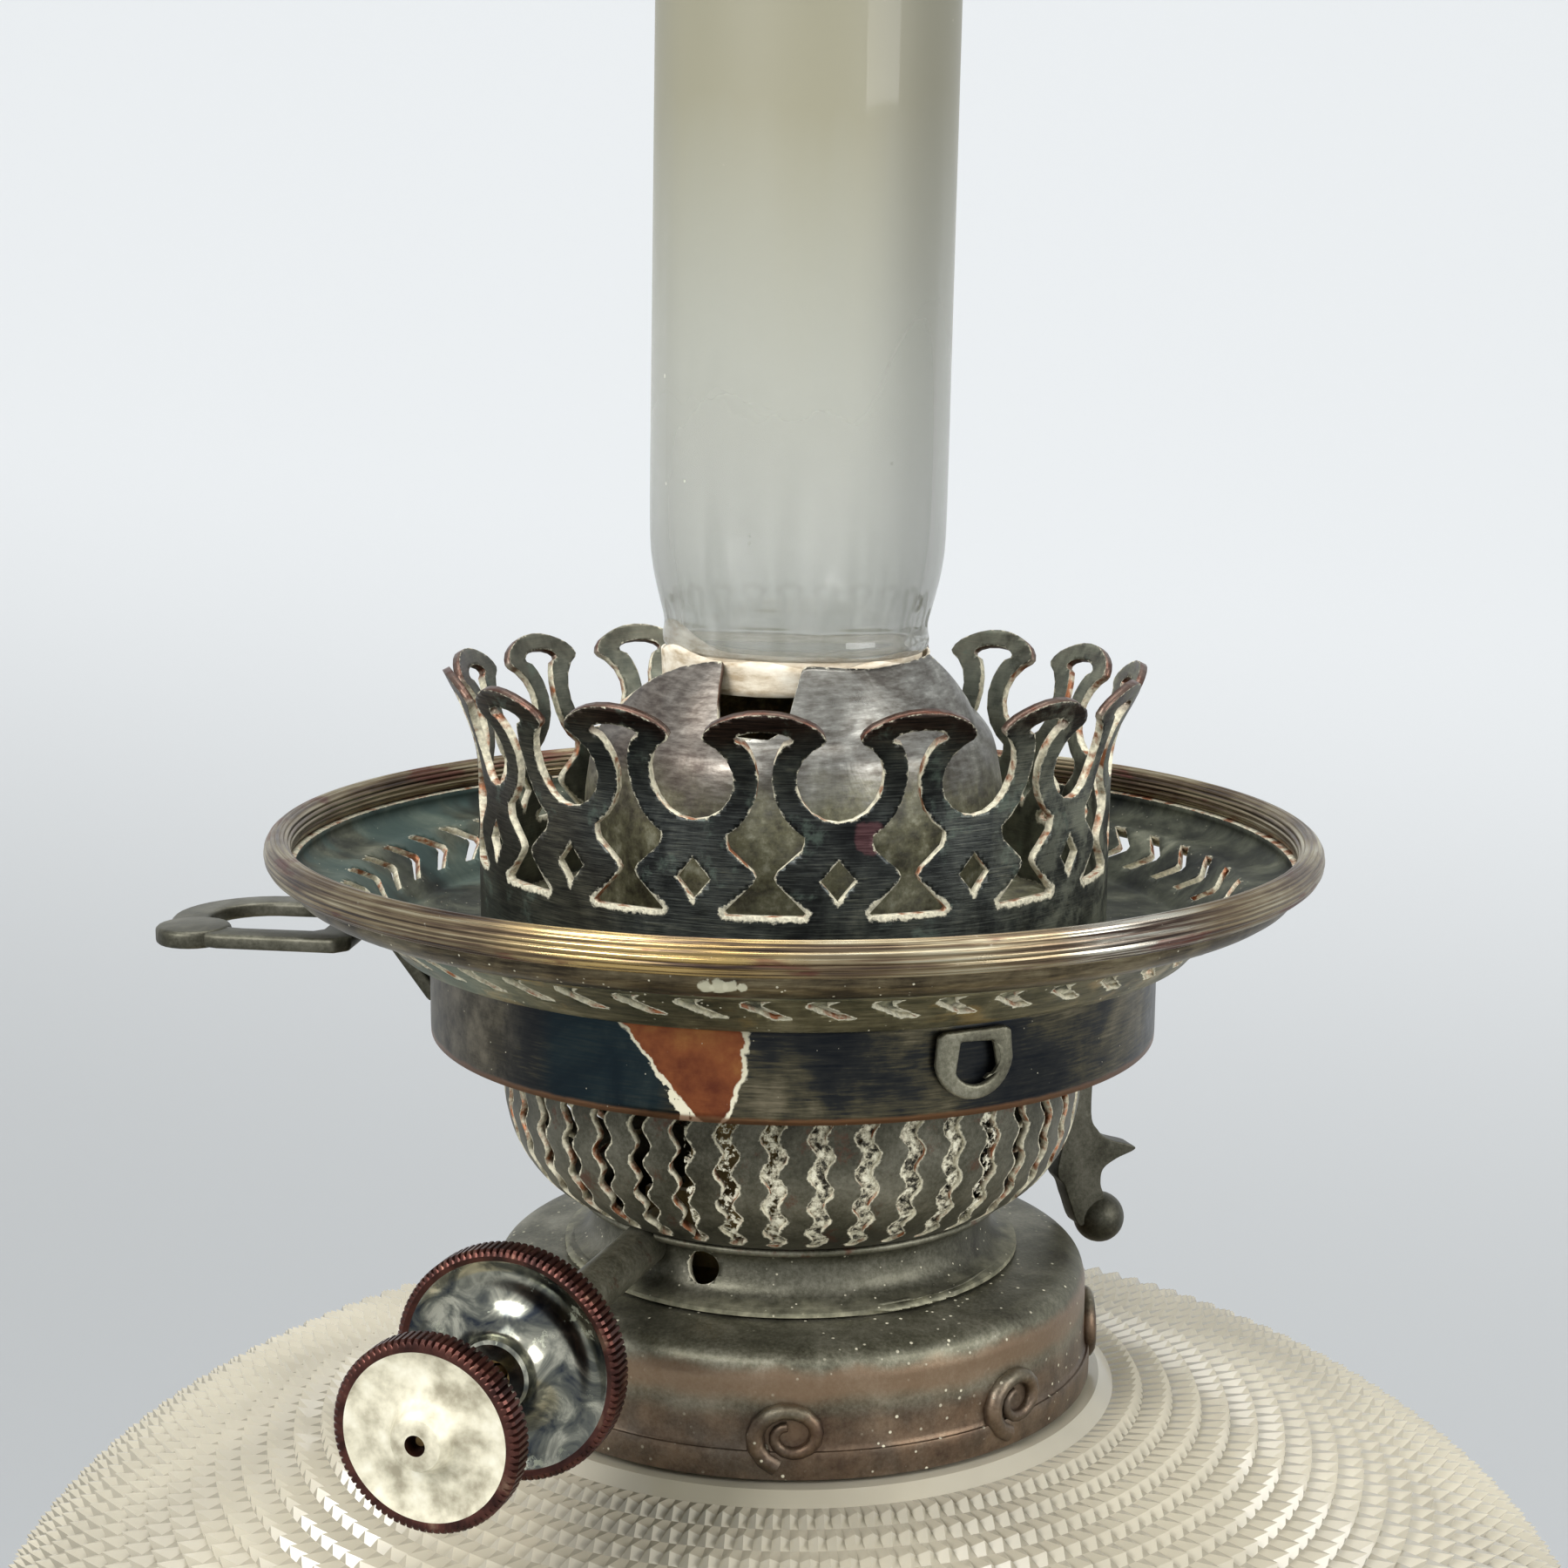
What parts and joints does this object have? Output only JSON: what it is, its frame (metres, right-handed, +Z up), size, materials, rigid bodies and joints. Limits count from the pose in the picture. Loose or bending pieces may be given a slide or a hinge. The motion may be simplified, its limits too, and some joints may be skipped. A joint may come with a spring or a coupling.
{
  "type": "banquet oil lamp",
  "caption": "Tall table oil lamp: twin-wick burner with pierced coronet gallery, tray, winders, extinguisher and chimney on a cut glass font, fluted column and stepped base.",
  "frame": {"origin": "on the table, under the middle of the base", "axes": "+Z up along the column; the lamp is seen from -Y in the picture, +X to the right there"},
  "size_m": [0.1786, 0.1785, 0.719],
  "materials": {
    "felt": "worn green felt",
    "iron": "dark rough iron and steel",
    "plate": "worn silver-coloured plate on brass",
    "font_glass": "pale pinkish cream pressed glass",
    "olive_brass": "satin olive-grey tarnish",
    "dark_brass": "blue-black tarnish, cream corrosion on edges",
    "brown_brass": "brown copper-coloured tarnish",
    "red_brass": "red-brown tarnish, polished where handled",
    "bright_brass": "dull yellow brass",
    "packing_paper": "folded cream paper",
    "chimney_glass": "clear blown glass, smoked near the top",
    "wick_cotton": "woven cotton, charred at the top"
  },
  "bodies": {
    "stand": {"felt_pad": "felt", "base_weight": "iron", "lower_plinth": "plate", "middle_plinth": "plate", "pedestal_block": "plate", "column_base": "plate", "column_shaft": "plate", "column_capital": "plate", "abacus_plate": "plate", "font_seat_cup": "plate", "tie_rod": "iron", "lower_tie_nut": "iron", "lower_tie_washer": "iron", "upper_tie_nut": "iron", "oil_font": "font_glass", "font_collar": "olive_brass"},
    "burner": {"burner_basket": "olive_brass", "burner_rim": "olive_brass", "burner_neck": "olive_brass", "wick_deck": "bright_brass", "wick_tube_left": "bright_brass", "wick_tube_right": "bright_brass", "spindle_housing": "olive_brass", "rear_bearing_plate": "bright_brass", "front_bearing_plate": "bright_brass", "extinguisher_pin": "bright_brass", "extinguisher_ears": "olive_brass"},
    "gallery": {"gallery_skirt": "dark_brass", "gallery_tray": "brown_brass", "tray_rim": "brown_brass", "gallery_coronet": "dark_brass", "gallery_catch": "dark_brass", "flame_dome": "brown_brass", "chimney_packing": "packing_paper"},
    "chimney": {"chimney_glass": "chimney_glass"},
    "raising_lever": {"gallery_lever": "olive_brass"},
    "large_winder": {"outer_spindle": "bright_brass", "left_wick_wheel": "bright_brass", "large_knob": "red_brass"},
    "small_winder": {"inner_spindle": "bright_brass", "inner_pinion": "bright_brass", "small_knob": "red_brass"},
    "idler": {"idler_gear": "bright_brass"},
    "counter_winder": {"counter_shaft": "bright_brass", "counter_pinion": "bright_brass", "right_wick_wheel": "bright_brass"},
    "left_wick": {"wick_left": "wick_cotton"},
    "right_wick": {"wick_right": "wick_cotton"},
    "snuffer_lever": {"extinguisher_lever": "olive_brass"},
    "snuffer_sleeves": {"extinguisher_sleeves": "bright_brass"}
  },
  "joints": [
    {"name": "burner_twist", "type": "hinge", "parent": "stand", "child": "burner", "pos_m": [0, 0, 0.4488], "axis": [0, 0, 1], "range_deg": [0, 25]},
    {"name": "gallery_lever_turn", "type": "hinge", "parent": "burner", "child": "raising_lever", "pos_m": [0, 0, 0.4806], "axis": [0, 0, -1], "range_deg": [0, 40]},
    {"name": "gallery_raise", "type": "slide", "parent": "burner", "child": "gallery", "axis": [0, 0, 1], "range_m": [0, 0.00601]},
    {"name": "chimney_lift", "type": "slide", "parent": "gallery", "child": "chimney", "axis": [0, 0, 1], "range_m": [0, 0.06]},
    {"name": "large_knob_turn", "type": "hinge", "parent": "burner", "child": "large_winder", "pos_m": [-0.00853, 0.00287, 0.45925], "axis": [-0.319, -0.9478, 0], "range_deg": [-120, 120]},
    {"name": "left_wick_feed", "type": "slide", "parent": "burner", "child": "left_wick", "axis": [0, 0, 1], "range_m": [-0.00629, 0.00629]},
    {"name": "small_knob_turn", "type": "hinge", "parent": "burner", "child": "small_winder", "pos_m": [-0.00853, 0.00287, 0.45925], "axis": [-0.319, -0.9478, 0], "range_deg": [-120, 120]},
    {"name": "idler_turn", "type": "hinge", "parent": "burner", "child": "idler", "pos_m": [0, 0, 0.45925], "axis": [-0.319, -0.9478, 0], "range_deg": [-60, 60]},
    {"name": "counter_turn", "type": "hinge", "parent": "burner", "child": "counter_winder", "pos_m": [0.00853, -0.00287, 0.45925], "axis": [-0.319, -0.9478, 0], "range_deg": [-120, 120]},
    {"name": "right_wick_feed", "type": "slide", "parent": "burner", "child": "right_wick", "axis": [0, 0, 1], "range_m": [-0.00629, 0.00629]},
    {"name": "snuffer_press", "type": "hinge", "parent": "burner", "child": "snuffer_lever", "pos_m": [0.03242, 0.0118, 0.4738], "axis": [-0.342, 0.9397, 0], "range_deg": [0, 4.5]},
    {"name": "snuffer_rise", "type": "slide", "parent": "burner", "child": "snuffer_sleeves", "axis": [0, 0, 1], "range_m": [0, 0.00181]}
  ],
  "couplings": [
    {"joint": "gallery_raise", "follows": "gallery_lever_turn", "m_per_rad": 0.008594},
    {"joint": "left_wick_feed", "follows": "large_knob_turn", "m_per_rad": 0.003},
    {"joint": "idler_turn", "follows": "small_knob_turn", "ratio": -0.5},
    {"joint": "counter_turn", "follows": "small_knob_turn", "ratio": 1},
    {"joint": "right_wick_feed", "follows": "small_knob_turn", "m_per_rad": -0.003},
    {"joint": "snuffer_rise", "follows": "snuffer_press", "m_per_rad": 0.022918}
  ]
}
